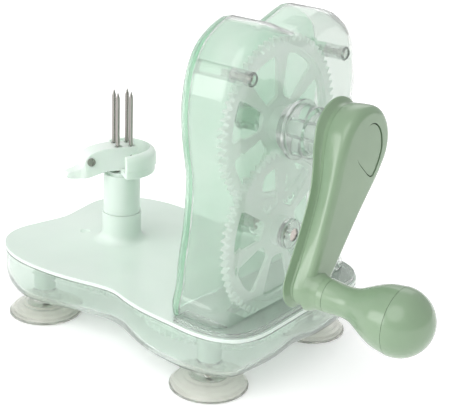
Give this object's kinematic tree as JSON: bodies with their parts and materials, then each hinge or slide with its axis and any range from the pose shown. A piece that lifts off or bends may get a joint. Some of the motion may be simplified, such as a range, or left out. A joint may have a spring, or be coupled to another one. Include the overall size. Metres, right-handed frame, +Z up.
{
  "type": "hand-cranked spindle stand",
  "caption": "Suction-cup table stand with a see-through gear column, a side crank with a pear knob, and a turning pronged spindle with a duck-shaped lever.",
  "frame": {"origin": "on the table, under the middle of the object's bounding box", "axes": "+X along the crank shaft towards the knob, +Y away from the crank arm's resting side, +Z up"},
  "size_m": [0.2394, 0.112, 0.1621],
  "materials": {
    "sage": "smooth, soft gloss",
    "pale_mint": "smooth, soft gloss",
    "clear_mint": "translucent, smooth",
    "clear": "clear, glossy",
    "green_plate": "smooth",
    "gear_white": "milky",
    "soft_clear": "soft, translucent",
    "steel": "satin"
  },
  "bodies": {
    "stand": {"base_shell": "clear_mint", "deck": "pale_mint", "column_back": "clear_mint", "column_cover": "clear", "column_floor": "green_plate", "cover_screws": "steel", "crank_collar": "clear", "lower_shaft": "steel", "crown_post": "steel", "spindle_pivot": "steel", "cup_front_left": "soft_clear", "cup_front_right": "soft_clear", "cup_back_left": "soft_clear", "cup_back_right": "soft_clear", "cup_screws": "steel"},
    "crank": {"crank_shaft": "gear_white", "upper_gear": "gear_white", "crank_arm": "sage", "crank_screw": "steel", "arm_cap": "sage", "knob_axle": "steel"},
    "knob": {"knob_grip": "sage", "knob_cap": "sage"},
    "lower_gears": {"lower_gear": "gear_white", "lower_pinion": "gear_white"},
    "crown": {"crown_gear": "gear_white"},
    "spindle": {"spindle_gear": "gear_white", "spindle_post": "pale_mint", "prong_head": "pale_mint", "prongs": "steel", "eye_pin": "steel"},
    "lever": {"duck_lever": "pale_mint"}
  },
  "joints": [
    {"name": "crank_turn", "type": "hinge", "parent": "stand", "child": "crank", "pos_m": [0.05028, 0, 0.114], "axis": [1, 0, 0], "continuous": true},
    {"name": "lower_turn", "type": "hinge", "parent": "stand", "child": "lower_gears", "pos_m": [0.02328, 0, 0.06513], "axis": [1, 0, 0], "continuous": true},
    {"name": "crown_turn", "type": "hinge", "parent": "stand", "child": "crown", "pos_m": [-0.00874, 0, 0.016], "axis": [0, 0, 1], "continuous": true},
    {"name": "spindle_turn", "type": "hinge", "parent": "stand", "child": "spindle", "pos_m": [-0.07372, 0, 0.06], "axis": [0, 0, 1], "continuous": true},
    {"name": "knob_spin", "type": "hinge", "parent": "crank", "child": "knob", "pos_m": [0.08628, -0.02934, 0.05882], "axis": [1, 0, 0], "continuous": true},
    {"name": "lever_tilt", "type": "hinge", "parent": "spindle", "child": "lever", "pos_m": [-0.08206, -0.01504, 0.0762], "axis": [0.8746, -0.4848, 0], "range_deg": [0, 8]}
  ],
  "couplings": [
    {"joint": "lower_turn", "follows": "crank_turn", "ratio": -3.4737},
    {"joint": "crown_turn", "follows": "crank_turn", "ratio": -4.094},
    {"joint": "spindle_turn", "follows": "crank_turn", "ratio": 5.3472}
  ]
}
